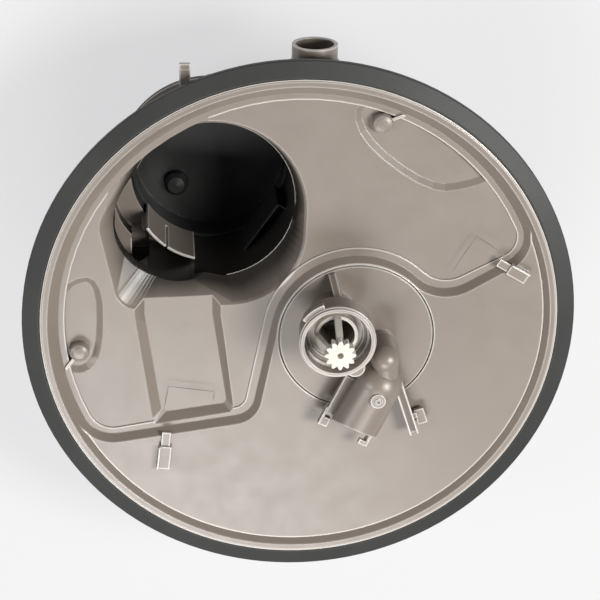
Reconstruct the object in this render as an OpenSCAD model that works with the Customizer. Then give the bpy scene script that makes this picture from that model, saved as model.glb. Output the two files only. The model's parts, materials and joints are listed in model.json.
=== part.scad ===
// Dishwasher pump motor assembly: round sump with its filter well, rim seal,
// twist-lock cover, spray tower and delivery hood, and under it the wash pump,
// its motor, the water diverter and the drain pump.
// Units are millimetres. The origin is the centre of the rim at the level of
// the seal's outer edge. +Z points up into the tub, +Y along the side pipe.

/* [Rim] */
// diameter over the rubber seal
seal_d = 390; // [384:1:480]
// width of the rubber seal, seen from above
seal_w = 12.2; // [10:0.2:14]
// height of the flat rim ring above the seal's outer edge
rim_h = 4; // [3:0.5:6]

/* [Floors] */
// height of the upper floor above the seal's outer edge
floor_b_z = 0.5; // [0:0.1:1]
// drop from the upper floor to the ledge at the foot of the step
step_drop = 5.6; // [4:0.1:8]
// drop from the ledge to the lower floor
ledge_drop = 1; // [0.5:0.1:2]
// wall thickness of the moulding
wall = 2.6; // [2.2:0.1:3.2]
// outward run of the sloped walls for each millimetre of height
wall_slope = 0.802; // [0.5:0.01:1]
// width of the ledge along the step
ledge_w = 6; // [4:0.5:8]

/* [Filter well] */
// centre of the well from the rim centre, across
well_x = -60.5; // [-66:0.5:-56]
// centre of the well from the rim centre, along the side pipe
well_y = 84.5; // [80:0.5:88]
// inner radius of the well
well_r = 57.5; // [48:0.5:60]
// depth of the well's tube below the seal's outer edge
well_depth = 98; // [95:1:120]
// how far the black cup's wall stands in from the wall of the well
cup_step = 2.7; // [1.6:0.1:5]
// depth of the black cup
cup_depth = 24; // [24:1:32]

/* [Cover] */
// radius of the twist-lock cover
cover_r = 54.5; // [52:0.5:60]
// gap round the cover
cover_gap = 0.8; // [0.5:0.1:1.2]
// height of the spray tower's top above the seal's outer edge
tower_top = 50; // [44:1:60]
// outer radius of the tower's top rim
tower_r = 26.5; // [25:0.5:28]
// bore radius of the tower's top rim
tower_bore_r = 23; // [22:0.5:24]
// teeth on the sun gear
sun_teeth = 12; // [8:1:16]
// height of the sun gear's top face
sun_top = 70; // [64:1:78]

/* [Delivery hood] */
// width of the hood at its dome
hood_dome_w = 21; // [18:0.5:23]
// width of the hood at its mouth
hood_mouth_w = 34.4; // [32:0.2:38]
// height of the hood's axis at the mouth
hood_mouth_z = 22; // [20:0.5:30]

/* [Side pipe] */
// outer diameter of the side pipe
pipe_d = 31.5; // [28:0.5:36]
// distance of the side pipe's mouth from the rim centre
pipe_end = 197; // [192:1:220]

/* [Wash pump] */
// radius of the impeller
impeller_r = 31; // [26:0.5:33]
// radius of the pump shaft
shaft_r = 4; // [3:0.25:5]
// running clearance of the shafts in their bushes, on the radius
run_gap = 0.05; // [0.02:0.01:0.08]
// outer radius of the motor case
motor_r = 45; // [43:0.5:46]
// length of the motor case
motor_len = 82; // [78:1:88]
// radial air gap between the rotor and the stator
air_gap = 0.6; // [0.4:0.1:1]

/* [Drain pump] */
// radius of the drain impeller
drain_imp_r = 16; // [12:0.5:17.5]
// outer radius of the drain spigot
drain_pipe_r = 9; // [8:0.5:10]

/* [Hidden] */
$fn = 64;
eps = 0.02;
// radii and levels that follow from the sizes above
seal_or = seal_d / 2;
seal_ir = seal_or - seal_w;
ledge_z = floor_b_z - step_drop;
floor_a_z = ledge_z - ledge_drop;
foot_r = seal_ir - 5.5 - wall_slope * (rim_h - ledge_z);
function cone_r(z) = foot_r + wall_slope * (z - ledge_z);
top_s = ledge_w + wall_slope * step_drop;
well_c = [well_x, well_y];
cup_z = -well_depth;
cup_r = well_r - cup_step;
cup_floor = cup_z - cup_depth;
screen_x = well_r - 8.7;
cover_c = [40, -10];
hole_r = cover_r + cover_gap;
tower_c = [22.5, 9];
seat_z = floor_b_z - 3;
room_z = -60;
div_screw_r = 41;
room_r = hole_r - 1.5;
taupe = [0.62, 0.58, 0.54];
black = [0.08, 0.085, 0.08];
rubber = [0.15, 0.16, 0.155];
white = [0.93, 0.92, 0.88];
steel = [0.6, 0.61, 0.63];
copper = [0.68, 0.36, 0.2];
grey = [0.4, 0.4, 0.41];
zinc = [0.72, 0.73, 0.74];

// outlines

function unit(v) = v / norm(v);
function polar(r, a) = [r * cos(a), r * sin(a)];
function heading(v) = atan2(v[1], v[0]);
// outward normal of the line that leaves one circle and meets the next
function tangent(a, b) = heading(b[0] - a[0]) - acos((a[1] * a[2] - b[1] * b[2]) / norm(b[0] - a[0]));
// points on one circle from normal n0 to normal n1; turn is 1 for a bulge, -1 for a hollow
function arc(c, r, turn, n0, n1, n) = [for (i = [0 : n]) c + turn * polar(r, n0 + (n1 - n0) * i / n)];
function up(a, low) = a < low ? up(a + 360, low) : (a >= low + 360 ? up(a - 360, low) : a);
function near(a, b) = a < b - 180 ? near(a + 360, b) : (a > b + 180 ? near(a - 360, b) : a);

// the lower floor's outline, s outside the ledge's inner edge; the outer circle has radius ro
k1 = [[40, -10], 66.3, -1];
k2 = [[-47, -58], 9.6, 1];
k4 = [[103, 53.5], 23, 1];
a3 = 205.7;
a5 = 24.6;
function ring(k, s) = [k[0], k[1] + k[2] * s, k[2]];
function pan(s, ro) =
  let (q3 = [polar(foot_r - 22.6, a3), 16.6 + ro - foot_r + ledge_w, 1])
  let (q5 = [polar(foot_r - 20, a5), 14 + ro - foot_r + ledge_w, 1])
  let (q2 = ring(k2, s), q1 = ring(k1, s), q4 = ring(k4, s))
  let (n32 = near(tangent(q3, q2), 279), n21 = near(tangent(q2, q1), 349))
  let (n14 = near(tangent(q1, q4), 300), n45 = near(tangent(q4, q5), 285))
  concat(
    [for (i = [0 : 35]) polar(ro, a5 + (a3 - a5) * i / 35)],
    [for (i = [1 : 8]) q3[0] + polar(q3[1], a3 + (n32 - a3) * i / 8)],
    arc(q2[0], q2[1], 1, n32, n21, 8),
    arc(q1[0], q1[1], -1, n21, n14, 36),
    arc(q4[0], q4[1], 1, n14, n45, 7),
    [for (i = [0 : 6]) q5[0] + polar(q5[1], n45 + (a5 + 360 - n45) * i / 7)]);
// the cavity is cut a little past the slope's top, and the slope is then filled in
wall_s = top_s + 0.12;
back_s = top_s + 0.36;
join = 0.04;
module pan_wedge(k, n0, n1) {
  // the sloped wall along one arc of the step; the profile is radius by height
  r_foot = k[1] + k[2] * (ledge_w - 0.5 * wall_slope);
  r_top = k[1] + k[2] * top_s;
  r_back = k[1] + k[2] * back_s;
  at(k[0])
    rotate([0, 0, k[2] > 0 ? n0 : n1 + 180])
      rotate_extrude(angle = abs(n1 - n0), $fn = 96)
        polygon([[r_foot, ledge_z - 0.5], [r_top, floor_b_z], [r_back, floor_b_z], [r_back, ledge_z - 0.5]]);
}
module pan_straight(a, b, n) {
  // the sloped wall along the line from circle a to circle b, whose outward normal is n
  start = a[0] + polar(a[2] * a[1], n);
  end = b[0] + polar(b[2] * b[1], n);
  translate([start[0], start[1], 0])
    rotate([0, 0, n])
      translate([0, -0.3, 0])
        rotate([-90, 0, 0])
          linear_extrude(height = norm(end - start) + 0.6)
            polygon([[ledge_w - 0.5 * wall_slope + join, 0.5 - ledge_z], [top_s + join, -floor_b_z],
              [back_s, -floor_b_z], [back_s, 0.5 - ledge_z]]);
}
module pan_wall() {
  q3 = [polar(foot_r - 22.6, a3), 16.6, 1];
  q5 = [polar(foot_r - 20, a5), 14, 1];
  n32 = near(tangent(ring(q3, ledge_w), ring(k2, ledge_w)), 279);
  n21 = near(tangent(ring(k2, ledge_w), ring(k1, ledge_w)), 349);
  n14 = near(tangent(ring(k1, ledge_w), ring(k4, ledge_w)), 300);
  n45 = near(tangent(ring(k4, ledge_w), ring(q5, ledge_w)), 285);
  pan_wedge(q3, a3, n32);
  pan_straight(q3, k2, n32);
  pan_wedge(k2, n32, n21);
  pan_straight(k2, k1, n21);
  pan_wedge(k1, n21, n14);
  pan_straight(k1, k4, n14);
  pan_wedge(k4, n14, n45);
  pan_straight(k4, q5, n45);
  pan_wedge(q5, n45, a5 + 360);
}

// the well's mouth, grown by s
function mouth(s) =
  let (t = [well_c + [-1.5, 0], well_r + 7 + s, 1], l = [[-118, 72], 20 + s, 1])
  let (c = [[-114, 27], 14.5 + s, 1], r = [[-50, 67], 52 + s, 1])
  let (ntl = up(tangent(t, l), 90), nlc = up(tangent(l, c), 90))
  let (ncr = up(tangent(c, r), 180), nrt = up(tangent(r, t), 270))
  concat(
    arc(t[0], t[1], 1, nrt - 360, ntl, 26), arc(l[0], l[1], 1, ntl, nlc, 5),
    arc(c[0], c[1], 1, nlc, ncr, 7), arc(r[0], r[1], 1, ncr, nrt, 14));
function level(p, z) = [for (q = p) [q[0], q[1], z]];
function shrink_to(p, c, r) = [for (q = p) c + r * unit(q - c)];

// an outline moved inwards by d, for outlines listed anticlockwise
function left_of(v) = unit([-v[1], v[0]]);
function inset(p, d) = [for (i = [0 : len(p) - 1])
  let (n = len(p), a = left_of(p[i] - p[(i + n - 1) % n]), b = left_of(p[(i + 1) % n] - p[i]))
  p[i] + d * (a + b) / (1 + a * b)];

// an outline with its corners cut, and cut again, to round them
function cut(p) = [for (i = [0 : len(p) - 1])
  let (q = p[(i + 1) % len(p)])
  each [p[i] * 0.75 + q * 0.25, p[i] * 0.25 + q * 0.75]];

// a solid between two outlines with equal numbers of points
module loft(lower, z0, upper, z1) {
  n = len(lower);
  polyhedron(
    points = concat([for (p = lower) [p[0], p[1], z0]], [for (p = upper) [p[0], p[1], z1]]),
    faces = concat([[for (i = [0 : n - 1]) i]], [[for (i = [n - 1 : -1 : 0]) n + i]],
      [for (i = [0 : n - 1]) [i, n + i, n + (i + 1) % n]],
      [for (i = [0 : n - 1]) [i, n + (i + 1) % n, (i + 1) % n]]));
}
// a solid through a row of rings with equal numbers of points
module skin(rings) {
  n = len(rings[0]);
  m = len(rings);
  polyhedron(
    points = [for (g = rings) each g],
    faces = concat([[for (i = [0 : n - 1]) i]], [[for (i = [n - 1 : -1 : 0]) (m - 1) * n + i]],
      [for (j = [0 : m - 2]) for (i = [0 : n - 1]) [j * n + i, (j + 1) * n + i, (j + 1) * n + (i + 1) % n]],
      [for (j = [0 : m - 2]) for (i = [0 : n - 1])
        [j * n + i, (j + 1) * n + (i + 1) % n, j * n + (i + 1) % n]]));
}
module slab(outline, z0, z1) {
  translate([0, 0, z0])
    linear_extrude(height = z1 - z0)
      polygon(outline);
}
module tube(ro, ri, z0, z1) {
  translate([0, 0, z0])
    difference() {
      cylinder(r = ro, h = z1 - z0);
      translate([0, 0, -1])
        cylinder(r = ri, h = z1 - z0 + 2);
    }
}
module rod(r, z0, z1) {
  translate([0, 0, z0])
    cylinder(r = r, h = z1 - z0);
}
module block(x0, x1, y0, y1, z0, z1) {
  translate([x0, y0, z0])
    cube([x1 - x0, y1 - y0, z1 - z0]);
}
module turned(profile) {
  rotate_extrude()
    polygon(profile);
}
module at(c) {
  translate([c[0], c[1], 0])
    children();
}

// sump body

pad_l = cut(cut([[-166, 33], [-176, 0], [-170, -36], [-150, -39], [-138.5, -20], [-138.5, 38]]));
pad_r = cut(cut([[36, 170], [36.5, 137], [88, 96], [120, 100], [142, 112], [100, 146]]));
trough_foot = [[-109.5, 20], [-109.5, 5], [-98.6, -70.8], [-95, -72.6], [-53.5, -66.6], [-51.6, -63.5],
  [-61.5, 5], [-61.5, 20]];
trough_top = [[-117.6, 20], [-117.6, 5], [-106.2, -76], [-103, -79.6], [-48.8, -71], [-45.8, -66.5],
  [-54.4, 5], [-54.4, 20]];
pad_drop = 2.6;
trough_drop = 5;
boss_l = [-155.7, -20.4];
boss_r = [54.5, 148.3];
pipe_c = [9.3, -30];
// the pocket beside the well that leads to the suction room
pocket_c = [-85, 72];
pocket_r = 45;
pocket_z = -84;
side_c = [-121, 46];
side_r = 20;
suction_z = -70;
suction_r = 17;
pump_x = well_x - 16;
hang_y = -109;
out_u = 43;
out_y = -out_u;
hang_dx = 40;

module pump_axis() {
  translate([pump_x, 0, suction_z])
    rotate([90, 0, 0])
      children();
}
module in_rim(r) {
  intersection() {
    children();
    rod(r, -40, 20);
  }
}
module rim_ring() {
  turned([[cone_r(ledge_z - 0.5), ledge_z - 0.5], [cone_r(rim_h), rim_h], [seal_ir - 1.5, rim_h],
    [seal_ir - 1.5, rim_h - 0.5], [seal_ir - 0.4, rim_h - 0.5], [seal_ir - 0.4, 0.2], [seal_or - 3.5, 0.2], [seal_or - 3.5, -2.2],
    [seal_ir - 1.5, -2.2], [seal_ir - 2, -12.5], [seal_ir - 4.5, -12.5], [cone_r(ledge_z) + 6, ledge_z - 0.5]]);
}
module dome_boss(c, z, r, h) {
  at(c)
    translate([0, 0, z])
      turned([[0, -2], [r, -2], [r, h - 3], [r * 0.86, h - 1.2], [r * 0.55, h - 0.3], [0, h]]);
}
module floor_rib(a, r0, r1, z0, z1) {
  rotate([0, 0, a])
    block(r0, r1, -1.1, 1.1, z0, z1);
}
module hang_boss(dx) {
  translate([pump_x + dx, hang_y, 0])
    rod(7, -14, -1);
}
module sump_tabs() {
  // snap tongues that hold the strainer plate at the foot of the step
  translate([-95, -85, 0])
    rotate([0, 0, -96])
      union() {
        block(-2, 12, -3.2, 3.2, -6, 2.2);
        block(9, 27, -4.6, 4.6, -1, 3.4);
        block(9, 27, -4.6, -3.4, 0, 5.6);
      }
  translate([141, 45, 0])
    rotate([0, 0, -31])
      union() {
        block(-3, 8, -3, 3, -6, 2.2);
        block(6, 21, -4.3, 4.3, -1, 3.4);
        block(6, 21, 3.1, 4.3, 0, 5.6);
      }
}
module sump_outer() {
  rod(cone_r(seat_z) + 1, floor_b_z - wall, floor_b_z);
  slab(pan(wall_s + 1, foot_r + top_s - ledge_w + 1), floor_a_z - wall, floor_b_z - 1);
  slab(inset(pad_l, -wall), floor_a_z - pad_drop - wall, floor_a_z - 1);
  in_rim(cone_r(ledge_z) + 2)
    slab(inset(pad_r, -wall), floor_a_z - pad_drop - wall, floor_a_z - 1);
  slab(inset(trough_top, -wall + 1), floor_a_z - trough_drop - wall, floor_a_z - 1);
  slab(mouth(wall), -24, floor_a_z - 1);
  at(well_c)
    union() {
      rod(well_r + wall, cup_z, -27);
      translate([0, 0, -29])
        cylinder(r1 = well_r + wall - 1, r2 = well_r + wall + 3, h = 6);
      rod(well_r + 9, cup_z, cup_z + 3);
    }
  at(pocket_c)
    rod(pocket_r + wall, pocket_z - wall, -12);
  at(side_c)
    rod(side_r + wall, -72.6, -28.4);
  // room for the diverter under the cover
  at(cover_c)
    union() {
      rod(hole_r + wall, room_z, floor_b_z - 1);
      rod(16, room_z - 6, room_z + 1);
      for (a = [20 : 90 : 290])
        rotate([0, 0, a])
          translate([div_screw_r, 0, 0])
            rod(4.5, room_z - 6, room_z + 1);
    }
  // inlet of the diverter room
  translate([0, out_y, -43])
    rotate([0, 90, 0])
      union() {
        rod(13, -23, -2);
        rod(13.6, -21.6, -19.6);
      }
  // suction chamber of the well and its spigot
  suction_box(wall);
  pump_axis()
    union() {
      rod(suction_r, -12, 6);
      rod(suction_r + 0.8, 2.5, 5);
    }
  // side pipe with its mould chamber and the duct to the well
  translate([pipe_c[0], 0, pipe_c[1]])
    rotate([-90, 0, 0])
      union() {
        rod(pipe_d / 2, 122, pipe_end);
        rod(pipe_d / 2 + 1.2, pipe_end - 14.5, pipe_end - 12);
      }
  at([pipe_c[0], 122])
    rod(pipe_d / 2 + 2, pipe_c[1] - pipe_d / 2 - 1, floor_a_z - 1);
  translate([pipe_c[0], 122, pipe_c[1]])
    rotate([0, -90, 207])
      rod(13, 0, 26);
  // ribs and hanger bosses under the floors
  for (a = [-150 : 20 : 10])
    floor_rib(a, 100, cone_r(seat_z) + 2, -13, floor_b_z - 1);
  for (a = [48, 66])
    floor_rib(a, 118, cone_r(seat_z) + 1, -16, floor_a_z - 1);
  for (a = [165, 185])
    floor_rib(a, 132, cone_r(seat_z) + 1, -16, floor_a_z - 1);
  hang_boss(hang_dx);
  hang_boss(-hang_dx);
  rim_lugs();
  sump_tabs();
}
module rim_lugs() {
  // tongues of the tub's locking ring, spaced round the rim
  for (a = [113, 203, 293, 23])
    rotate([0, 0, a])
      block(seal_ir - 8, seal_or - 8.7, -11, 11, -9.5, -6.5);
  translate([-79.6, 0, 0])
    union() {
      block(-3.7, 3.7, 164, 186, -14.6, -12.4);
      block(-3.7, 3.7, 184.6, 189, -15.2, -12);
    }
}
module suction_box(g) {
  // the room behind the well's wall and the duct that feeds it from the side pocket
  block(-118 - g, -50 + g, 8 - g, 24.3, -90 - g, -52 + g);
  block(-118 - g, -105.5 + g, 12 - g, 44, -88 - g, -52 + g);
}
module sump_cavities() {
  slab(pan(0, cone_r(ledge_z) - 4.5), floor_a_z, ledge_z + eps);
  slab(pan(wall_s, foot_r + wall_s - ledge_w), ledge_z, floor_b_z + 0.1);
  in_rim(cone_r(ledge_z) - 4.5)
    loft(inset(pad_l, 4.4), floor_a_z - pad_drop, inset(pad_l, -2), ledge_z + 0.1);
  in_rim(cone_r(ledge_z) - 4.5)
    loft(inset(pad_r, 4.4), floor_a_z - pad_drop, inset(pad_r, -2), ledge_z + 0.1);
  loft(trough_foot, floor_a_z - trough_drop, trough_top, ledge_z + 0.04);
  // funnel and tube of the well
  skin([level(shrink_to(mouth(0), well_c, well_r + 0.4), -27), level(mouth(0), floor_a_z - 1.4),
    level(mouth(1.8), floor_a_z + 0.1)]);
  at(well_c)
    rod(well_r, cup_z - 1, -26);
  at(pocket_c)
    rod(pocket_r, pocket_z, -10);
  at(side_c)
    rod(side_r, -70, -31);
  // diverter room, its cover seat and inlet
  at(cover_c)
    union() {
      rod(hole_r, seat_z, 5);
      rod(hole_r - 3.8, seat_z - 3, 5);
      rod(room_r, room_z + wall, seat_z - wall);
      rod(9, room_z - 7, room_z + 5);
      for (a = [20 : 90 : 290])
        rotate([0, 0, a])
          translate([div_screw_r, 0, 0])
            rod(1.6, room_z - 7, room_z - 1);
      for (a = [0 : 90 : 270])
        rotate([0, 0, a + 30])
          block(45, hole_r - 1.2, -7, 7, seat_z - 3, seat_z + 1);
    }
  translate([0, out_y, -43])
    rotate([0, 90, 0])
      rod(10.5, -24, 6);
  suction_box(0);
  pump_axis()
    rod(suction_r - 2.5, -24, 7);
  translate([pipe_c[0], 0, pipe_c[1]])
    rotate([-90, 0, 0])
      rod(pipe_d / 2 - 2.4, 122, pipe_end + 1);
  at([pipe_c[0], 122])
    rod(pipe_d / 2 - 1, pipe_c[1] - pipe_d / 2 + 1.6, pipe_c[1] + pipe_d / 2 - 1);
  translate([pipe_c[0], 122, pipe_c[1]])
    rotate([0, -90, 207])
      rod(10.5, 0, 30);
  translate([pump_x + hang_dx, hang_y, 0])
    rod(2, -15, -4);
  translate([pump_x - hang_dx, hang_y, 0])
    rod(2, -15, -4);
}
module sump_posts() {
  dome_boss(boss_l, floor_a_z - pad_drop, 7, 8.6);
  dome_boss(boss_r, floor_a_z - pad_drop, 7.2, 8.6);
  in_rim(cone_r(ledge_z) - 1) {
    at(boss_l)
      rotate([0, 0, 233])
        block(5, 20, -1, 1, floor_a_z - pad_drop - 1, -3.4);
    at(boss_r)
      rotate([0, 0, 22])
        block(5, 24, -1, 1, floor_a_z - pad_drop - 1, -3.4);
  }
}
module sump_body() {
  color(taupe)
    union() {
      difference() {
        sump_outer();
        sump_cavities();
      }
      rim_ring();
      pan_wall();
      sump_posts();
    }
}
module rim_seal() {
  color(rubber)
    turned([[seal_ir, 0.35], [seal_ir, rim_h - 0.8], [seal_ir + 1, rim_h - 0.6], [seal_or - 1.6, 0.8],
      [seal_or - 0.4, 0.5], [seal_or, 0], [seal_or, -3.4], [seal_or - 1.2, -4.6], [seal_or - 8, -4.6],
      [seal_or - 8, -2.35], [seal_or - 3.4, -2.35], [seal_or - 3.4, 0.35]]);
}

// well parts

module sector(from, sweep, r0, r1, z0, z1) {
  rotate([0, 0, from])
    rotate_extrude(angle = sweep)
      polygon([[r0, z0], [r1, z0], [r1, z1], [r0, z1]]);
}
module well_baffle() {
  color(taupe)
    at(well_c)
      difference() {
        union() {
          sector(213, 44, well_r - 3.2, well_r - 1.4, cup_z + 1.02, -50);
          sector(214, 3, well_r - 2, well_r + 3, pocket_z, -60);
          sector(252.6, 3, well_r - 2, well_r - 0.04, cup_z + 1.02, -54);
        }
        rotate([0, 0, 234])
          block(40, 70, -0.8, 0.8, -88, -45);
      }
}
module well_screen() {
  color(black)
    at(well_c)
      intersection() {
        rotate([0, 0, -34.6])
          union() {
            block(screen_x, screen_x + 1.4, -30, 13, cup_z + 1.02, -60);
            block(screen_x + 0.7, well_r + 2.5, 11.4, 13, cup_z + 1.02, -63);
          }
        rod(well_r - 0.04, cup_z, -50);
      }
}
module drain_axis() {
  translate([0, well_y, cup_floor + 10])
    rotate([0, 90, 0])
      children();
}
room_x = well_x + well_r + 10.5;
spigot_x = room_x + 7;
flap_y = 113.7;
module flap_pin(half) {
  translate([spigot_x, flap_y, cup_floor + 26.6])
    rotate([0, 90, 0])
      rod(0.8, -half, half);
}
module well_cup() {
  color(black)
    difference() {
      union() {
        at(well_c)
          union() {
            rod(well_r + 9, cup_z - 4, cup_z - 1);
            rod(cup_r + wall, cup_floor - wall, cup_z - 3);
            tube(well_r - 0.3, cup_r, cup_z - 3, cup_z + 1);
          }
        drain_axis()
          union() {
            rod(11.5, well_x + cup_r - 6, room_x + 1);
            rod(drain_imp_r + 5.5, room_x, room_x + 17);
            rod(drain_imp_r + 8, room_x + 14, room_x + 17);
          }
        translate([spigot_x, 0, cup_floor + 18])
          rotate([-90, 0, 0])
            union() {
              rod(drain_pipe_r, well_y, 150);
              rod(12.5, 109.5, 131);
              rod(drain_pipe_r + 1.3, 133, 135.5);
            }
        translate([-85, 62, 0])
          rod(14, cup_floor - wall - 2, cup_floor - 1);
      }
      at(well_c)
        union() {
          rod(cup_r, cup_floor, cup_z + 2);
          for (a = [30 : 60 : 330])
            rotate([0, 0, a])
              translate([well_r + 6, 0, 0])
                rod(1.7, cup_z - 5, cup_z + 1);
        }
      drain_axis()
        union() {
          rod(9, well_x + cup_r - 8, room_x + 4);
          rod(drain_imp_r + 3, room_x + 2.4, room_x + 18);
        }
      translate([spigot_x, 0, cup_floor + 18])
        rotate([-90, 0, 0])
          union() {
            rod(drain_pipe_r - 2, well_y + 8, 151);
            rod(10.5, 112, 129);
          }
      translate([-85, 62, 0])
        rod(9, cup_floor - wall - 3, cup_floor + 1);
      flap_pin(7.5);
    }
}
module cup_gasket() {
  color(rubber)
    at(well_c)
      difference() {
        tube(well_r + 8.6, well_r - 0.3, cup_z - 1, cup_z);
        for (a = [30 : 60 : 330])
          rotate([0, 0, a])
            translate([well_r + 6, 0, 0])
              rod(1.7, cup_z - 2, cup_z + 1);
      }
}
module cup_screws() {
  color(steel)
    at(well_c)
      for (a = [30 : 60 : 330])
        rotate([0, 0, a])
          translate([well_r + 6, 0, 0])
            union() {
              rod(1.65, cup_z - 4, cup_z);
              difference() {
                rod(3.4, cup_z - 6.4, cup_z - 4);
                block(-2.4, 2.4, -0.5, 0.5, cup_z - 7, cup_z - 5.2);
                block(-0.5, 0.5, -2.4, 2.4, cup_z - 7, cup_z - 5.2);
              }
            }
}
module check_flap() {
  color(rubber)
    translate([spigot_x, 0, cup_floor + 18])
      rotate([-90, 0, 0])
        difference() {
          union() {
            rod(8.2, 112, 113.2);
            translate([0, -8.6, flap_y])
              rotate([0, 90, 0])
                rod(1.6, -2.2, 2.2);
            block(-2.2, 2.2, -8.4, -6, 112.1, 114);
          }
          translate([0, -8.6, flap_y])
            rotate([0, 90, 0])
              rod(0.8 + run_gap, -4, 4);
        }
}
module check_pin() {
  color(steel)
    flap_pin(7.5);
}
module turbidity_sensor() {
  color(grey)
    translate([-85, 62, 0])
      union() {
        rod(8.6, cup_floor - wall - 5, cup_floor + 6);
        translate([0, 0, cup_floor + 6])
          turned([[0, -1], [8.6, -1], [8.6, 0], [6, 2.6], [0, 3.6]]);
        rod(13, cup_floor - wall - 11, cup_floor - wall - 3.4);
        block(-7, 7, -22, 0, cup_floor - wall - 11, cup_floor - wall - 5);
      }
}
module sensor_oring() {
  color(rubber)
    translate([-85, 62, 0])
      tube(12, 9.6, cup_floor - wall - 3.4, cup_floor - wall - 2);
}

// cover, tower and hood

hood_c = [58, -14];
hood_dir = [-0.43, -0.903];
module cover_disc() {
  color(taupe)
    difference() {
      union() {
        at(cover_c)
          union() {
            turned([[0, seat_z], [cover_r, seat_z], [cover_r, floor_b_z - 0.5], [cover_r - 0.5, floor_b_z],
              [0, floor_b_z]]);
            tube(hole_r - 4.8, hole_r - 7.4, seat_z - 8, seat_z + 1);
            for (a = [0 : 90 : 270])
              rotate([0, 0, a + 75])
                block(hole_r - 6, hole_r - 2.2, -6, 6, seat_z - 6, seat_z - 3.2);
          }
        at(tower_c)
          union() {
            turned([[0, -3], [16.5, -3], [16.5, 14], [17.5, 18], [21, 24], [25.4, 29], [25.4, tower_top - 6],
              [tower_r, tower_top - 5], [tower_r, tower_top - 1.6], [tower_r - 1.2, tower_top - 1.4],
              [tower_r - 1.2, tower_top], [0, tower_top]]);
            rotate([0, 0, 110])
              lug_arc(36, tower_top - 6.4, tower_top - 2.4);
            rotate([0, 0, -61])
              lug_u(tower_top - 14, tower_top - 10);
            // stiffening rib up to the cover's edge
            rotate([0, 0, 106.5])
              translate([0, -7.8, 0])
                rotate([90, 0, 0])
                  translate([0, 0, -2.5])
                    linear_extrude(height = 5)
                      polygon([[13, -1], [30, -1], [30, 3.5], [19.6, 22.6], [13, 22.6]]);
          }
        hood_foot();
      }
      at(tower_c)
        turned([[0, -8], [13.6, -8], [13.6, 20], [16, 27], [18.4, 31], [18.4, 36], [tower_bore_r - 1.8, 36],
          [tower_bore_r - 1.8, 40], [tower_bore_r, 40.5], [tower_bore_r, tower_top + 1], [0, tower_top + 1]]);
      at(hood_c)
        rod(8, -8, 6);
      at(cover_c)
        tube(hole_r - 3, hole_r - 5.9, seat_z - 2.4, seat_z - 0.6);
    }
}
module lug_arc(sweep, z0, z1) {
  translate([0, 0, z0])
    rotate_extrude(angle = sweep)
      polygon([[24, 0], [29.4, 0], [29.4, z1 - z0], [24, z1 - z0]]);
}
module lug_u(z0, z1) {
  slab(concat([[20, -7], [27.5, -7]], [for (i = [1 : 7]) [27.5 + 7 * sin(i * 22.5), -7 * cos(i * 22.5)]],
    [[27.5, 7], [20, 7]]), z0, z1);
}
module cover_oring() {
  color(rubber)
    at(cover_c)
      tube(hole_r - 3.9, hole_r - 5.85, seat_z - 2.3, seat_z - 0.7);
}
module hood_frame() {
  // local +X runs along the hood from the dome to the mouth
  at(hood_c)
    rotate([0, 0, heading(hood_dir)])
      children();
}
module hood_foot() {
  at(hood_c)
    rod(hood_dome_w / 2 - 1.2, floor_b_z - 1, 7);
}
hood_len = 61;
hood_back = 21;
barrel_y = 6.4;
dome_z = 28;
module hood_shell(g) {
  // a barrel with a round back end, fed by an elbow that bulges out of its side
  rd = hood_dome_w / 2 - g;
  rm = hood_mouth_w / 2 - g;
  rb = rm - 1.2;
  back_z = hood_mouth_z + 2;
  dip = atan2(back_z - hood_mouth_z, hood_len - hood_back);
  translate([hood_back, barrel_y, back_z])
    union() {
      sphere(r = rb);
      rotate([0, 90 + dip, 0])
        translate([0, 0, -1])
          cylinder(r1 = rb - 0.2, r2 = rm, h = hood_len - hood_back + (g > 0 ? 10 : 9));
    }
  translate([0, 0, dome_z])
    union() {
      sphere(r = rd);
      rotate([0, 92, 34])
        cylinder(r1 = rd - 0.3, r2 = 4.5 - g * 0.4, h = 30);
    }
  rod(rd - 0.15, g > 0 ? 5 : 7, dome_z - 0.5);
}
module hood_hooks() {
  // side rail and the hooks that catch the feed tube's collar
  block(28, 60.5, -15.5, -7, 12, 16);
  block(56, 71, -16.5, -14.7, 11, 15.4);
  block(64.2, 71, -16.4, -9.5, 10, 15);
  block(48, 73, 20, 23.5, 12, 16);
  block(69.5, 73, 16.5, 23.4, 12.2, 15.8);
}
module delivery_hood() {
  color(taupe)
    hood_frame()
      union() {
        difference() {
          hood_shell(0);
          hood_shell(2);
          // the mouth is cut leaning back
          translate([hood_len, 0, hood_mouth_z])
            rotate([0, -20.7, 0])
              block(0, 30, -40, 50, -50, 50);
          translate([27, 6.8, 0])
            rod(pin_r, 30, 60);
        }
        difference() {
          hood_hooks();
          hood_shell(1);
        }
        // seat of the pin
        difference() {
          translate([27, 6.8, 0])
            rod(5.4, 34, 40.6);
          hood_shell(1);
          translate([27, 6.8, 0])
            rod(pin_r, 30, 44);
        }
      }
}
pin_r = 2.5;
module hood_pin() {
  color(zinc)
    hood_frame()
      translate([27, 6.8, 0])
        difference() {
          rod(pin_r, 36, 41.4);
          rod(1, 40.6, 44);
        }
}
module latch_arm() {
  color(taupe)
    translate([70, -43, 0])
      rotate([0, 0, -72])
        difference() {
          union() {
            block(-4, 41, -3.2, 3.2, 8, 14);
            block(-4, 4, -3.2, 3.2, floor_b_z, 9);
            block(26, 38, 4.6, 11.6, floor_b_z + 3.5, 7);
            block(27, 31, 2, 6, floor_b_z + 3.5, 9);
          }
          block(2, 42, -2, 2, 10, 15);
        }
}
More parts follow.
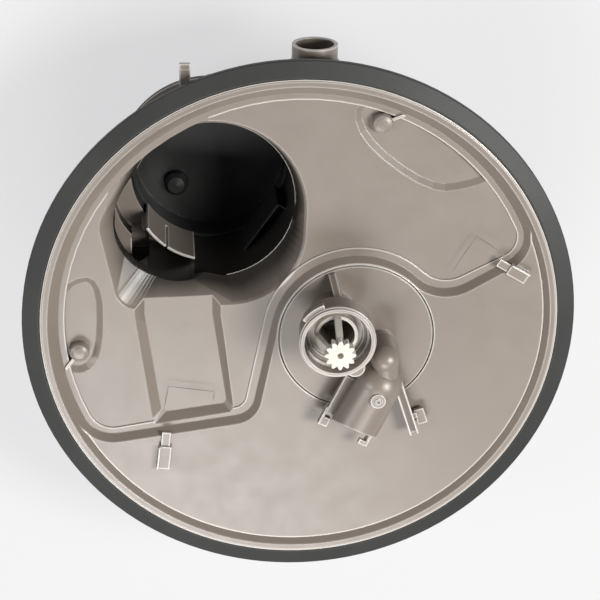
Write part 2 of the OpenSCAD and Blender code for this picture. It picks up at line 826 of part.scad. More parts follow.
module sun_gear() {
  tip_r = 10.8;
  root_r = 8.2;
  color(white)
    at(tower_c)
      union() {
        tube(14.9, 12.6, 36 - 2.6, 38);
        tube(18.3, 14, 36 - 4.6, 36 - 2.6);
        for (a = [88, 190, 310])
          rotate([0, 0, a])
            spoke(a == 190 ? 4.2 : 2.3);
        difference() {
          union() {
            rod(root_r, sun_top - 7, sun_top);
            for (i = [0 : sun_teeth - 1])
              rotate([0, 0, i * 360 / sun_teeth])
                slab([[root_r - 1, -1.9], [root_r + 0.6, -1.7], [tip_r - 0.4, -0.8], [tip_r, 0],
                  [tip_r - 0.4, 0.8], [root_r + 0.6, 1.7], [root_r - 1, 1.9]], sun_top - 7, sun_top);
          }
          rod(2.2, sun_top - 12, sun_top + 1);
        }
      }
}
module spoke(half) {
  rotate([90, 0, 0])
    translate([0, 0, -half])
      linear_extrude(height = 2 * half)
        polygon([[12.2, 34], [14.6, 34], [14.6, 40], [7.4, sun_top - 6], [2.6, sun_top - 6],
          [2.6, sun_top - 10], [6, sun_top - 11]]);
}

// diverter

module diverter_disc() {
  color(white)
    at(cover_c)
      difference() {
        union() {
          rod(hole_r - 9, seat_z - 12, seat_z - 9);
          rod(7, seat_z - 30, seat_z - 9);
          for (a = [0 : 60 : 300])
            rotate([0, 0, a + 10])
              block(6, hole_r - 12, -0.8, 0.8, seat_z - 16, seat_z - 11);
        }
        rotate([0, 0, heading(tower_c - cover_c)])
          translate([norm(tower_c - cover_c), 0, 0])
            rod(13, seat_z - 20, seat_z - 8);
        rod(3, seat_z - 31, seat_z - 12);
      }
}
module diverter_shaft() {
  color(steel)
    at(cover_c)
      rod(3, room_z - 14, seat_z - 12);
}
module diverter_bush() {
  color(zinc)
    at(cover_c)
      union() {
        tube(9, 3 + run_gap, room_z - 6, room_z + 1);
        tube(11, 3 + run_gap, room_z + wall, room_z + wall + 1.5);
        tube(9, 6, room_z, room_z + wall + 1);
      }
}
module diverter_seal() {
  color(rubber)
    at(cover_c)
      tube(5.9, 3 + run_gap, room_z + 1, room_z + wall);
}
case_top = room_z - 6;
module diverter_case() {
  color(black)
    at(cover_c)
      difference() {
        union() {
          rod(36, case_top - 20, case_top);
          for (a = [20 : 90 : 290])
            rotate([0, 0, a])
              block(30, div_screw_r + 4.6, -4.8, 4.8, case_top - 4, case_top);
          block(30, 52, -8, 8, case_top - 18, case_top - 6);
        }
        rod(33.6, case_top - 21, case_top - 2.4);
        rod(6, case_top - 5, case_top + 1);
        for (a = [20 : 90 : 290])
          rotate([0, 0, a])
            translate([div_screw_r, 0, 0])
              rod(1.7, case_top - 5, case_top + 1);
        block(40, 53, -6.4, 6.4, case_top - 16, case_top - 8.4);
      }
}
module diverter_lid() {
  color(grey)
    at(cover_c)
      union() {
        rod(36, case_top - 22.4, case_top - 20);
        tube(33.4, 31.4, case_top - 20, case_top - 17);
        rod(7, case_top - 20, case_top - 8.2);
      }
}
module diverter_screws() {
  color(steel)
    at(cover_c)
      for (a = [20 : 90 : 290])
        rotate([0, 0, a])
          translate([div_screw_r, 0, 0])
            union() {
              rod(1.55, case_top - 4.1, case_top + 4);
              difference() {
                rod(3.4, case_top - 6.42, case_top - 4.02);
                block(-2.4, 2.4, -0.5, 0.5, case_top - 7, case_top - 5.2);
              }
            }
}

// wash pump

vol_r = impeller_r + 8.5;
// the long screws pass outside both the volute and the motor case
ear_r = max(vol_r + 9.4, motor_r + 3.9);
plate_r = ear_r - 2.9;
plate_u = 58;
case_u = plate_u + 3.5;
case_end = case_u + motor_len;
stack_u = case_u + 20;
stack_len = motor_len - 42;
rotor_r = 22;
outlet_v = vol_r - 12.5;
module suction_sleeve() {
  color(rubber)
    pump_axis()
      difference() {
        union() {
          tube(suction_r + 3, suction_r, -4.6, 21);
          tube(suction_r + 4, suction_r, 6.4, 9.2);
        }
        tube(suction_r + 0.85, suction_r - 1, 2.4, 5.1);
      }
}
module outlet_axis() {
  translate([0, out_y, -43])
    rotate([0, 90, 0])
      children();
}
module outlet_sleeve() {
  color(rubber)
    outlet_axis()
      difference() {
        tube(16, 13, -32, -17.5);
        tube(13.65, 12, -21.65, -19.55);
      }
}
module band(r, z) {
  tube(r + 0.8, r, z - 3, z + 3);
  translate([r + 0.2, 0, z])
    block(0, 7, -2.4, 2.4, -2.4, 2.4);
}
module hose_clamps() {
  color(steel)
    union() {
      pump_axis()
        union() {
          band(suction_r + 3, -0.6);
          band(suction_r + 3, 16.5);
        }
      outlet_axis()
        union() {
          band(16, -28.6);
          band(16, -20.6);
        }
    }
}
module volute_housing() {
  color(black)
    pump_axis()
      difference() {
        union() {
          rod(suction_r, 10, 30);
          rod(vol_r + wall, 28, plate_u - 0.8);
          rod(plate_r, plate_u - 4.8, plate_u - 0.8);
          for (a = [45 : 90 : 315])
            rotate([0, 0, a])
              translate([ear_r, 0, 0])
                rod(4.6, plate_u - 12, plate_u - 0.8);
          translate([0, 27, out_u])
            rotate([0, 90, 0])
              rod(13, 0, 50.5);
          for (a = [15 : 30 : 345])
            rotate([0, 0, a])
              block(suction_r - 1, vol_r, -1, 1, 24, 29);
        }
        rod(suction_r - 2.5, 9, 32);
        rod(vol_r, 30.6, plate_u);
        for (a = [45 : 90 : 315])
          rotate([0, 0, a])
            translate([ear_r, 0, 0])
              rod(1.6, plate_u - 11, plate_u);
        translate([0, 27, out_u])
          rotate([0, 90, 0])
            rod(10.5, 0, 55);
      }
}
module volute_gasket() {
  color(rubber)
    pump_axis()
      tube(vol_r + 4.6, vol_r + 0.4, plate_u - 0.8, plate_u);
}
module wear_ring() {
  color(zinc)
    pump_axis()
      tube(18, 16.4, 30.6, 35);
}
module impeller() {
  color(grey)
    pump_axis()
      difference() {
        union() {
          tube(16, 13.6, 32, 37);
          tube(impeller_r, 13.6, 36, 37.6);
          rod(impeller_r, 48.4, 50);
          rod(8, 40, 53);
          for (i = [0 : 5])
            rotate([0, 0, i * 60])
              vane();
        }
        rod(shaft_r, 44, 54);
      }
}
module vane() {
  // a backward-swept blade: a slice of a ring, cut to the impeller's radius
  intersection() {
    translate([0, 19, 0])
      tube(22, 20.4, 37, 49);
    rod(impeller_r - 0.5, 36, 50);
    block(7, 40, -20, 40, 36, 50);
  }
}
module pump_shaft() {
  color(steel)
    pump_axis()
      rod(shaft_r, 44, case_end - 1);
}
module seal_ring() {
  color(black)
    pump_axis()
      difference() {
        union() {
          rod(8, 55.4, 57);
          rod(6.6, 53, 56);
        }
        rod(shaft_r, 52, 58);
      }
}
module seal_seat() {
  color(white)
    pump_axis()
      tube(9.5, shaft_r + 1, 57, 61);
}
module back_plate() {
  color(black)
    pump_axis()
      difference() {
        union() {
          rod(plate_r, plate_u, case_u);
          for (a = [45 : 90 : 315])
            rotate([0, 0, a])
              translate([ear_r, 0, 0])
                rod(4.6, plate_u, case_u);
          rod(14.5, case_u - 1, case_u + 12);
          rod(motor_r - 2.05, case_u - 0.5, case_u + 4);
        }
        rod(9.5, plate_u - 1, 61);
        rod(shaft_r + 1, 56, 66);
        rod(11, case_u + 3, case_u + 13);
        tube(motor_r - 5, 16, case_u + 1, case_u + 5);
        for (a = [45 : 90 : 315])
          rotate([0, 0, a])
            translate([ear_r, 0, 0])
              rod(1.7, plate_u - 1, case_u + 1);
      }
}
module front_bearing() {
  color(zinc)
    pump_axis()
      tube(11, shaft_r + run_gap, case_u + 3, case_u + 11);
}
module rear_bearing() {
  color(zinc)
    pump_axis()
      tube(11, shaft_r + run_gap, case_end - 11, case_end - 3);
}
module rotor_core() {
  color(steel)
    pump_axis()
      difference() {
        union() {
          rod(rotor_r, stack_u, stack_u + stack_len);
          tube(rotor_r - 1.5, 10, stack_u - 3, stack_u + stack_len + 3);
          rod(7, stack_u - 4, stack_u + stack_len + 4);
        }
        rod(shaft_r, stack_u - 6, stack_u + stack_len + 6);
      }
}
module slots(r0, r1, half, z0, z1) {
  for (a = [0 : 30 : 330])
    rotate([0, 0, a])
      block(r0, r1, -half, half, z0, z1);
}
module stator_core() {
  color(steel)
    pump_axis()
      difference() {
        rod(motor_r - 2.04, stack_u, stack_u + stack_len);
        rod(rotor_r + air_gap, stack_u - 1, stack_u + stack_len + 1);
        slots(rotor_r + 2, motor_r - 9, 3, stack_u - 1, stack_u + stack_len + 1);
      }
}
module stator_coils() {
  color(copper)
    pump_axis()
      union() {
        slots(rotor_r + 3, motor_r - 9.2, 2.8, stack_u - 1, stack_u + stack_len + 1);
        coil_end(stack_u - 8, stack_u);
        coil_end(stack_u + stack_len, stack_u + stack_len + 8);
      }
}
module coil_end(z0, z1) {
  c = (z0 + z1) / 2;
  m = (rotor_r + motor_r - 6) / 2;
  turned([[m - 6.5, z0], [m + 5, z0], [m + 7, c], [m + 5, z1], [m - 6.5, z1], [m - 8, c]]);
}
module motor_case() {
  color(steel)
    pump_axis()
      difference() {
        union() {
          tube(motor_r, motor_r - 2, case_u, case_end);
          tube(motor_r + 3.4, motor_r - 2, case_end - 2, case_end);
        }
        for (a = [0 : 30 : 330])
          rotate([0, 0, a + 15])
            block(40, 50, -3, 3, case_end - 18, case_end - 8);
      }
}
module motor_end_cap() {
  color(steel)
    pump_axis()
      difference() {
        union() {
          rod(motor_r + 3.4, case_end, case_end + 2.4);
          rod(14.5, case_end - 12, case_end + 1);
          rod(motor_r - 2.05, case_end - 3, case_end + 1);
        }
        rod(11, case_end - 13, case_end - 3);
        rod(shaft_r + 1, case_end - 4, case_end - 0.5);
        tube(motor_r - 4, 16, case_end - 4, case_end);
        for (a = [0 : 30 : 330])
          rotate([0, 0, a])
            block(20, 36, -2, 2, case_end - 4, case_end + 3);
      }
}
module terminal_block() {
  color(white)
    pump_axis()
      translate([0, 0, case_end + 2.4])
        difference() {
          block(-16, 16, -33, -19, 0, 13);
          block(-14, -1, -31, -21, 3, 14);
          block(1, 14, -31, -21, 3, 14);
        }
}
module terminal_blades() {
  color(zinc)
    pump_axis()
      for (x = [-11, -5.6, 5.6, 11])
        block(x - 0.4, x + 0.4, -29, -23, case_end + 5.4, case_end + 13);
}
module pump_screws() {
  color(steel)
    pump_axis()
      for (a = [45 : 90 : 315])
        rotate([0, 0, a])
          translate([ear_r, 0, 0])
            union() {
              rod(1.6, plate_u - 9, case_u + 0.5);
              difference() {
                rod(3.8, case_u, case_u + 3);
                block(-2.6, 2.6, -0.6, 0.6, case_u + 1.6, case_u + 4);
                block(-0.6, 0.6, -2.6, 2.6, case_u + 1.6, case_u + 4);
              }
            }
}
module motor_hanger() {
  u = -hang_y;
  color(black)
    pump_axis()
      difference() {
        union() {
          tube(motor_r + 3, motor_r + 0.05, u - 8, u + 8);
          for (s = [-1, 1])
            union() {
              block(s * hang_dx - 9, s * hang_dx + 9, 50, 53, u - 8, u + 8);
              block(s * 31 - 2, s * 31 + 2, 28, 51, u - 6, u + 6);
            }
          block(-6, 6, motor_r + 2, 52, u - 1.5, u + 1.5);
          block(-hang_dx + 9, hang_dx - 9, 50, 53, u - 1.5, u + 1.5);
        }
        for (s = [-1, 1])
          translate([s * hang_dx, 54, u])
            rotate([90, 0, 0])
              rod(3.52, 0, 6);
        rod(motor_r + 0.05, u - 10, u + 10);
      }
}
module hanger_mounts() {
  color(rubber)
    for (s = [-1, 1])
      translate([pump_x + s * hang_dx, hang_y, 0])
        union() {
          tube(6.6, 2, suction_z + 53, -14);
          tube(3.5, 2, suction_z + 49, suction_z + 54);
          tube(6.6, 2, suction_z + 48, suction_z + 50);
        }
}
module hanger_screws() {
  color(steel)
    for (s = [-1, 1])
      translate([pump_x + s * hang_dx, hang_y, 0])
        union() {
          rod(1.95, suction_z + 47, -5);
          rod(5.4, suction_z + 47, suction_z + 48);
          difference() {
            rod(3.8, suction_z + 44.4, suction_z + 47);
            block(-2.6, 2.6, -0.6, 0.6, suction_z + 43, suction_z + 45.6);
          }
        }
}

// drain pump

flange_x = room_x + 17;
module drain_flange() {
  color(black)
    drain_axis()
      difference() {
        union() {
          rod(drain_imp_r + 8, flange_x, flange_x + 3);
          rod(drain_imp_r + 2.9, flange_x - 2, flange_x + 1);
          rod(11.5, flange_x, flange_x + 34);
          for (a = [60, 180, 300])
            rotate([0, 0, a])
              block(16, drain_imp_r + 11, -4, 4, flange_x, flange_x + 3);
        }
        rod(10.2, flange_x + 1, flange_x + 32.4);
        rod(3.5, flange_x - 3, flange_x + 2);
        rod(1.5 + run_gap, flange_x + 30, flange_x + 33.4);
      }
}
module drain_bush() {
  color(zinc)
    drain_axis()
      tube(3.5, 1.5 + run_gap, flange_x - 2, flange_x + 1);
}
module drain_shaft() {
  color(steel)
    drain_axis()
      rod(1.5, flange_x - 11, flange_x + 33);
}
module drain_rotor() {
  color(grey)
    drain_axis()
      tube(9.4, 1.5, flange_x + 4, flange_x + 27);
}
module drain_impeller() {
  color(white)
    drain_axis()
      difference() {
        union() {
          rod(drain_imp_r, flange_x - 4.6, flange_x - 3.2);
          rod(4, flange_x - 13, flange_x - 4);
          for (a = [0 : 90 : 270])
            rotate([0, 0, a])
              block(0, drain_imp_r - 0.4, -0.9, 0.9, flange_x - 12, flange_x - 4);
        }
        rod(1.5, flange_x - 11, flange_x);
      }
}
module drain_core() {
  color(steel)
    drain_axis()
      difference() {
        block(-17, 17, -18, 34, flange_x + 7, flange_x + 25);
        rod(11.5, flange_x + 6, flange_x + 26);
        block(-8, 8, 16, 26, flange_x + 6, flange_x + 26);
        block(-1.5, 1.5, 8, 18, flange_x + 6, flange_x + 26);
      }
}
module drain_coil() {
  color(copper)
    drain_axis()
      difference() {
        union() {
          block(-8, 8, 16.1, 43, flange_x + 5, flange_x + 28);
          block(-7.9, 7.9, 40, 46, flange_x + 8, flange_x + 24);
        }
        block(-18, 18, 26, 34.02, flange_x + 7, flange_x + 25);
      }
}
module drain_oring() {
  color(rubber)
    drain_axis()
      tube(drain_imp_r + 3, drain_imp_r + 1.4, flange_x - 3.4, flange_x - 2);
}

sump_body();
rim_seal();
well_baffle();
well_screen();
well_cup();
cup_gasket();
cup_screws();
cover_disc();
cover_oring();
delivery_hood();
hood_pin();
latch_arm();
sun_gear();
diverter_disc();
diverter_shaft();
diverter_bush();
diverter_seal();
diverter_case();
diverter_lid();
diverter_screws();
suction_sleeve();
outlet_sleeve();
hose_clamps();
volute_housing();
volute_gasket();
wear_ring();
impeller();
pump_shaft();
seal_seat();
seal_ring();
back_plate();
front_bearing();
rear_bearing();
rotor_core();
stator_core();
stator_coils();
motor_case();
motor_end_cap();
terminal_block();
terminal_blades();
pump_screws();
motor_hanger();
hanger_mounts();
hanger_screws();
drain_flange();
drain_impeller();
drain_shaft();
drain_bush();
drain_rotor();
drain_core();
drain_coil();
drain_oring();
check_flap();
check_pin();
turbidity_sensor();
sensor_oring();
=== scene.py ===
import json
import bmesh
import bpy
from mathutils import Matrix, Vector


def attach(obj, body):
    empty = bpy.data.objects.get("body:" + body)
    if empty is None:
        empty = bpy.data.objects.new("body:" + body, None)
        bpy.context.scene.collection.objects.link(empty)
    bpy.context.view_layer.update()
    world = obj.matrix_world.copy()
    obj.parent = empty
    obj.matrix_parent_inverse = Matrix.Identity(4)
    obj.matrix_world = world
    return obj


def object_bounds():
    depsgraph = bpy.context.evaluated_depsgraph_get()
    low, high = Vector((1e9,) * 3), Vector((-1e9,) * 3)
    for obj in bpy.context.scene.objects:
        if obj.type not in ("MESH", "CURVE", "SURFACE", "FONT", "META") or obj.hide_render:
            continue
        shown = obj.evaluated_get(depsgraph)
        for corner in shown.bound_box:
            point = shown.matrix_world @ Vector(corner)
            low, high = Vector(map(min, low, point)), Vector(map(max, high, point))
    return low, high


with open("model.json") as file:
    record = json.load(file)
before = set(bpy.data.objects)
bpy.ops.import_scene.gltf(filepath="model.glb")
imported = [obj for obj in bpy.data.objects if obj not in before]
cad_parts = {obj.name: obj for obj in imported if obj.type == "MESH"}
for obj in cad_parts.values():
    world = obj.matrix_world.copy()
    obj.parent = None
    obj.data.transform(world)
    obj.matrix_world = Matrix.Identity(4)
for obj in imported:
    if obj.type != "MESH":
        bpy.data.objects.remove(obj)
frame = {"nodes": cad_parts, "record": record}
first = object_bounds()

# places on the sump, in metres
FLOOR_A = -0.0061
FLOOR_B = 0.0005
WELL = (-0.0605, 0.0845, 0)
# the part of the well's lip that lies next to the rim
LIP_REACH = 0.074
LIP_SIDE = -0.064
# painted shade in the well: heights where it begins and is full, its reach, its strength
WELL_SHADE_TOP = -0.002
WELL_SHADE_FULL = -0.019
WELL_SHADE_REACH = 0.098
WELL_SHADE_MOST = 0.94
WELL_SHADE_UNEVEN = 0.006
WELL_SHADE_COLOUR = (0.011, 0.0095, 0.008)

TAUPE = (0.236, 0.198, 0.167)
# painted highlight on outside corners: its colour, the reach of its corner mask, and the roughness
# there
CORNER_HIGHLIGHT = (0.66, 0.62, 0.57)
CORNER_HIGHLIGHT_REACH = 0.0014
CORNER_HIGHLIGHT_ROUGH = 0.2
GRAIN_DEPTH = 0.0004

# the camera: focal length and picture width in pixels, then its place and axes
FOCAL = 2126.46
PICTURE = 600
SENSOR = 36
EYE = (-0.101491, 0.635455, 1.355064)
EYE_RIGHT = (0.99759, 0.01468, 0.06781)
EYE_UP = (0.01468, 0.91059, -0.41306)
EYE_BACK = (-0.06781, 0.41306, 0.90818)


def mat(name, colour, rough, spec=0.5, metal=0.0):
    m = bpy.data.materials.new(name)
    m.use_nodes = True
    b = m.node_tree.nodes["Principled BSDF"]
    b.inputs["Base Color"].default_value = (*colour, 1)
    b.inputs["Roughness"].default_value = rough
    b.inputs["Specular IOR Level"].default_value = spec
    b.inputs["Metallic"].default_value = metal
    return m, m.node_tree.nodes, m.node_tree.links, b


def noise(nodes, links, scale, detail=2.0, stretch=(1, 1, 1)):
    co = nodes.new("ShaderNodeTexCoord")
    mp = nodes.new("ShaderNodeMapping")
    mp.inputs["Scale"].default_value = stretch
    n = nodes.new("ShaderNodeTexNoise")
    n.inputs["Scale"].default_value = scale
    n.inputs["Detail"].default_value = detail
    links.new(co.outputs["Object"], mp.inputs["Vector"])
    links.new(mp.outputs["Vector"], n.inputs["Vector"])
    return n.outputs["Fac"]


def ramp(nodes, links, src, start, end):
    # from one (position, colour) to another
    r = nodes.new("ShaderNodeValToRGB")
    for element, (place, colour) in zip(r.color_ramp.elements, (start, end)):
        element.position = place
        element.color = (*colour, 1)
    links.new(src, r.inputs["Fac"])
    return r.outputs["Color"]


def blend(nodes, links, amount, under, over):
    # a fixed colour laid over what is there, by the amount
    mix = nodes.new("ShaderNodeMix")
    mix.data_type = "RGBA"
    mix.inputs["B"].default_value = (*over, 1)
    links.new(amount, mix.inputs["Factor"])
    links.new(under, mix.inputs["A"])
    return mix.outputs["Result"]


def soften(nodes, links, b, radius, strength=0.0, scale=900):
    # rounded mould edges, with an optional fine grain on top
    bev = nodes.new("ShaderNodeBevel")
    bev.samples = 6
    bev.inputs["Radius"].default_value = radius
    out = bev.outputs["Normal"]
    if strength:
        bp = nodes.new("ShaderNodeBump")
        bp.inputs["Strength"].default_value = strength
        bp.inputs["Distance"].default_value = GRAIN_DEPTH
        links.new(noise(nodes, links, scale), bp.inputs["Height"])
        links.new(out, bp.inputs["Normal"])
        out = bp.outputs["Normal"]
    links.new(out, b.inputs["Normal"])


def calc(nodes, links, kind, a, b):
    m = nodes.new("ShaderNodeMath")
    m.operation = kind
    m.use_clamp = kind == "MULTIPLY"
    links.new(a, m.inputs[0])
    if isinstance(b, (int, float)):
        m.inputs[1].default_value = b
    else:
        links.new(b, m.inputs[1])
    return m.outputs[0]


def from_well(nodes, links):
    # flat vector to the filter well's axis, its length, and the point's coordinates
    co = nodes.new("ShaderNodeTexCoord")
    to = nodes.new("ShaderNodeVectorMath")
    to.operation = "SUBTRACT"
    to.inputs[0].default_value = WELL
    links.new(co.outputs["Object"], to.inputs[1])
    flat = nodes.new("ShaderNodeVectorMath")
    flat.operation = "MULTIPLY"
    flat.inputs[1].default_value = (1, 1, 0)
    links.new(to.outputs[0], flat.inputs[0])
    size = nodes.new("ShaderNodeVectorMath")
    size.operation = "LENGTH"
    links.new(flat.outputs[0], size.inputs[0])
    part = nodes.new("ShaderNodeSeparateXYZ")
    links.new(co.outputs["Object"], part.inputs[0])
    return flat.outputs[0], size.outputs["Value"], part.outputs


def off_the_lip(nodes, links):
    # 0 on the lip between the well and the rim, 1 elsewhere
    _, size, at = from_well(nodes, links)
    near = calc(nodes, links, "LESS_THAN", size, LIP_REACH)
    left = calc(nodes, links, "LESS_THAN", at["X"], LIP_SIDE)
    both = calc(nodes, links, "MULTIPLY", near, left)
    return calc(nodes, links, "LESS_THAN", both, 0.5)


def painted_well_shade(nodes, links):
    # painted shade that darkens the inside of the filter well, stronger with depth
    flat, size, at = from_well(nodes, links)
    geo = nodes.new("ShaderNodeNewGeometry")
    face = nodes.new("ShaderNodeVectorMath")
    face.operation = "DOT_PRODUCT"
    links.new(flat, face.inputs[0])
    links.new(geo.outputs["Normal"], face.inputs[1])
    inward = calc(nodes, links, "GREATER_THAN", face.outputs["Value"], 0.004)
    near = calc(nodes, links, "LESS_THAN", size, WELL_SHADE_REACH)
    inside = calc(nodes, links, "MULTIPLY", inward, near)
    shift = calc(nodes, links, "MULTIPLY_ADD", noise(nodes, links, 45, 3), WELL_SHADE_UNEVEN)
    links.new(at["Z"], shift.node.inputs[2])
    deep = nodes.new("ShaderNodeMapRange")
    deep.interpolation_type = "SMOOTHSTEP"
    deep.inputs["From Min"].default_value = WELL_SHADE_TOP
    deep.inputs["From Max"].default_value = WELL_SHADE_FULL
    deep.inputs["To Min"].default_value = 0
    deep.inputs["To Max"].default_value = WELL_SHADE_MOST
    links.new(shift, deep.inputs["Value"])
    return calc(nodes, links, "MULTIPLY", inside, deep.outputs["Result"])


def moulded(name, c, rough, edge, vary=0.05, grain=0.1, shine=0.5, corner_highlight=None, well_shade=None):
    m, n, l, b = mat(name, c, rough, shine)
    darker = tuple(x * (1 - vary) for x in c)
    lighter = tuple(x * (1 + vary) for x in c)
    tone = ramp(n, l, noise(n, l, 9, 3), (0.3, darker), (0.7, lighter))
    gloss = ramp(n, l, noise(n, l, 60, 4), (0.3, (rough * 0.9,) * 3), (0.75, (rough * 1.15,) * 3))
    if corner_highlight:
        # outside corners get a painted highlight: a paler colour, and a lower roughness that makes
        # them shinier
        ao = n.new("ShaderNodeAmbientOcclusion")
        ao.inside = True
        ao.only_local = True
        ao.samples = 12
        ao.inputs["Distance"].default_value = CORNER_HIGHLIGHT_REACH
        k = ramp(n, l, ao.outputs["AO"], (0.66, (1, 1, 1)), (0.96, (0, 0, 0)))
        # the painted highlight is left off the thin lip between the well and the rim
        if well_shade:
            k = calc(n, l, "MULTIPLY", k, off_the_lip(n, l))
        tone = blend(n, l, k, tone, corner_highlight)
        gloss = blend(n, l, k, gloss, (CORNER_HIGHLIGHT_ROUGH,) * 3)
    # painted shade darkening the inside of the well
    if well_shade:
        tone = blend(n, l, painted_well_shade(n, l), tone, well_shade)
    l.new(tone, b.inputs["Base Color"])
    l.new(gloss, b.inputs["Roughness"])
    soften(n, l, b, edge, grain, 700)
    return m


def metal(name, c, rough, stretch=(1, 1, 1)):
    m, n, l, b = mat(name, c, rough, 0.5, 1.0)
    s = noise(n, l, 220, 3, stretch)
    tone = ramp(n, l, s, (0.3, tuple(x * 0.86 for x in c)), (0.7, c))
    gloss = ramp(n, l, s, (0.3, (rough * 0.8,) * 3), (0.7, (rough * 1.25,) * 3))
    l.new(tone, b.inputs["Base Color"])
    l.new(gloss, b.inputs["Roughness"])
    soften(n, l, b, 0.0003)
    return m


def rubber(name, c, rough, dust):
    m, n, l, b = mat(name, c, rough, 0.35)
    l.new(ramp(n, l, noise(n, l, 14, 5), (0.42, c), (0.72, dust)), b.inputs["Base Color"])
    soften(n, l, b, 0.0008, 0.25, 1500)
    return m


# one look for each material slot, and one for the sump with painted shade in its well; the taupe
# looks carry a painted highlight on outside corners
made = {
    "taupe_plastic": moulded("taupe_plastic_look", TAUPE, 0.36, 0.0010, 0.03, 0.04, 0.9, CORNER_HIGHLIGHT),
    "black_plastic": moulded("black_plastic_look", (0.016, 0.017, 0.016), 0.38, 0.0006, 0.2, 0.15),
    "grey_plastic": moulded("grey_plastic_look", (0.13, 0.13, 0.135), 0.45, 0.0005, 0.08, 0.15),
    "white_plastic": moulded("white_plastic_look", (0.70, 0.665, 0.60), 0.42, 0.0004, 0.02, 0.05),
    "black_rubber": rubber("black_rubber_look", (0.034, 0.0345, 0.0335), 0.5, (0.043, 0.043, 0.042)),
    "steel": metal("steel_look", (0.56, 0.56, 0.57), 0.34, (1, 6, 1)),
    "zinc_steel": metal("zinc_steel_look", (0.42, 0.41, 0.40), 0.48),
    "copper_wire": metal("copper_wire_look", (0.62, 0.27, 0.12), 0.32, (8, 1, 8)),
    "ferrite": moulded("ferrite_look", (0.05, 0.05, 0.053), 0.5, 0.0004, 0.15, 0.2),
}
shaded_sump_look = moulded("taupe_plastic_well_shade_look", TAUPE, 0.36, 0.0010, 0.03, 0.04, 0.9, CORNER_HIGHLIGHT, WELL_SHADE_COLOUR)
slots = {p["node"]: p["material_slot"] for p in frame["record"]["subparts"]}
for name, obj in frame["nodes"].items():
    obj.data.materials.clear()
    obj.data.materials.append(shaded_sump_look if name == "sump_body" else made[slots[name]])


def bead(name, points, z, width, look):
    # a thin bead along the points, tapered at both ends, its foot just inside the floor
    foot = z - 0.0001
    crest = z + width * 0.22
    bm = bmesh.new()
    rows = []
    for i, (x, y) in enumerate(points):
        ahead = Vector(points[min(i + 1, len(points) - 1)])
        behind = Vector(points[max(i - 1, 0)])
        along = (ahead - behind).normalized()
        side = Vector((-along.y, along.x)) * width / 2
        if i in (0, len(points) - 1):
            side *= 0.3
        here = Vector((x, y))
        steps = ((-1, foot), (-0.5, crest), (0.5, crest), (1, foot))
        rows.append([bm.verts.new((*(here + side * k), height)) for k, height in steps])
    for a, b in zip(rows, rows[1:]):
        for k in range(4):
            bm.faces.new((a[k], a[(k + 1) % 4], b[(k + 1) % 4], b[k]))
    bm.faces.new(rows[0][::-1])
    bm.faces.new(rows[-1])
    bmesh.ops.recalc_face_normals(bm, faces=bm.faces)
    me = bpy.data.meshes.new(name)
    bm.to_mesh(me)
    bm.free()
    o = bpy.data.objects.new(name, me)
    bpy.context.scene.collection.objects.link(o)
    me.materials.append(look)
    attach(o, "sump")


# small marks on the moulding: their points, floor, width and look
pale = moulded("pale_scratch_look", (0.42, 0.385, 0.345), 0.3, 0.0001, 0.04, 0.05, 0.8)
dull = moulded("dull_hairline_look", (0.12, 0.10, 0.085), 0.5, 0.0001, 0.04, 0.05, 0.4)
marks = {
    "hairline_trough_side": (
        [(-0.0969, -0.0701), (-0.0950, -0.0600), (-0.0930, -0.0499)], FLOOR_A, 0.0005, dull),
    "hairline_trough_end": (
        [(-0.0930, -0.0499), (-0.0770, -0.0524), (-0.0606, -0.0546)], FLOOR_A, 0.0005, dull),
    "hairline_trough_tail": (
        [(-0.0602, -0.0550), (-0.0608, -0.0590), (-0.0615, -0.0627)], FLOOR_A, 0.0005, dull),
    "hairline_insert_left": (
        [(0.1068, 0.0400), (0.1145, 0.0534), (0.1225, 0.0663)], FLOOR_B, 0.0004, dull),
    "hairline_insert_right": (
        [(0.1225, 0.0663), (0.1306, 0.0606), (0.1386, 0.0547)], FLOOR_B, 0.0004, dull),
    "scratch_left": (
        [(-0.1379, -0.0078), (-0.1359, -0.0070), (-0.1343, -0.0052)], FLOOR_A, 0.0006, pale),
    "scratch_middle": (
        [(-0.0833, -0.0085), (-0.0817, -0.0072), (-0.0806, -0.0052)], FLOOR_A, 0.0005, pale),
    "scratch_arc": (
        [(0.0045, -0.0659), (0.0083, -0.0676), (0.0125, -0.0685)], FLOOR_B, 0.0005, pale),
}
for name, facts in marks.items():
    bead(name, *facts)

# floor
low = first[0][2]
bpy.ops.mesh.primitive_plane_add(size=24, location=(0, 0, low - 0.001))
floor = bpy.context.object
floor.name = "floor"
m, n, l, b = mat("floor_look", (0.80, 0.80, 0.81), 0.9, 0.1)
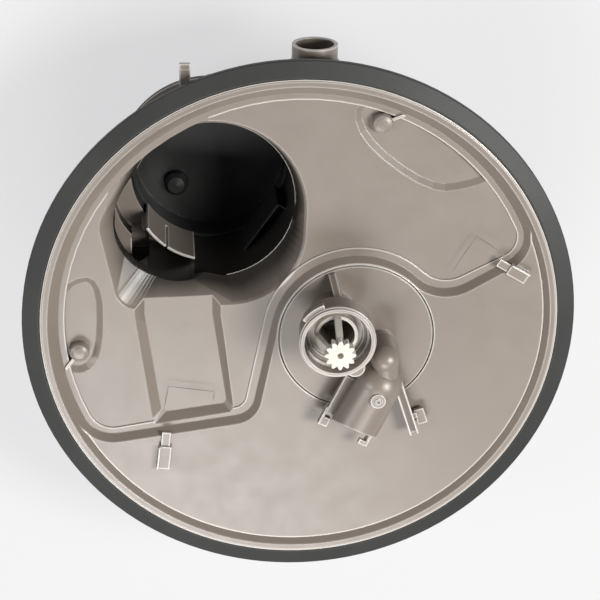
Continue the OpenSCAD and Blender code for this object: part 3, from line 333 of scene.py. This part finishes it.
# the camera, shiny surfaces and clear ones see a white sweep that keeps a soft shadow
lp = n.new("ShaderNodeLightPath")
seen = lp.outputs["Is Camera Ray"]
for ray in ("Is Glossy Ray", "Is Transmission Ray"):
    seen = calc(n, l, "MAXIMUM", seen, lp.outputs[ray])
em = n.new("ShaderNodeEmission")
em.inputs["Color"].default_value = (0.985, 0.985, 1.0, 1)
em.inputs["Strength"].default_value = 0.88
both = n.new("ShaderNodeMixShader")
both.inputs["Fac"].default_value = 0.72
l.new(b.outputs["BSDF"], both.inputs[1])
l.new(em.outputs["Emission"], both.inputs[2])
pick = n.new("ShaderNodeMixShader")
l.new(seen, pick.inputs["Fac"])
l.new(b.outputs["BSDF"], pick.inputs[1])
l.new(both.outputs["Shader"], pick.inputs[2])
l.new(pick.outputs["Shader"], n["Material Output"].inputs["Surface"])
floor.data.materials.append(m)

# studio light
world = bpy.data.worlds.new("studio")
bpy.context.scene.world = world
world.use_nodes = True
sky = world.node_tree.nodes["Background"]
sky.inputs["Color"].default_value = (0.96, 0.97, 1.0, 1)
sky.inputs["Strength"].default_value = 0.10


def lamp(name, place, target, size, power, colour):
    d = bpy.data.lights.new(name, "AREA")
    d.shape = "RECTANGLE"
    d.size, d.size_y = size
    d.energy = power
    d.color = colour
    o = bpy.data.objects.new(name, d)
    bpy.context.scene.collection.objects.link(o)
    o.location = place
    o.rotation_euler = (Vector(target) - Vector(place)).to_track_quat("-Z", "Y").to_euler()


lamp("key_lamp", (0.98, 0.22, 1.45), (0, 0, 0), (0.6, 0.6), 30, (1, 0.99, 0.97))
lamp("sheen_lamp", (-0.22, -1.0, 1.3), (-0.02, -0.06, 0), (1.0, 0.56), 15, (1, 0.99, 0.985))
lamp("left_lamp", (-1.3, 0.05, 0.95), (0, 0, 0), (0.5, 0.8), 7, (0.98, 0.985, 1))

# camera at the photograph's angle
cam = bpy.data.cameras.new("camera")
cam.sensor_width = SENSOR
cam.lens = FOCAL / PICTURE * SENSOR
cam.clip_end = 30
eye = bpy.data.objects.new("camera", cam)
bpy.context.scene.collection.objects.link(eye)
turn = Matrix((EYE_RIGHT, EYE_UP, EYE_BACK)).transposed().to_4x4()
turn.translation = Vector(EYE)
eye.matrix_world = turn
bpy.context.scene.camera = eye
bpy.context.scene.view_settings.view_transform = "Standard"
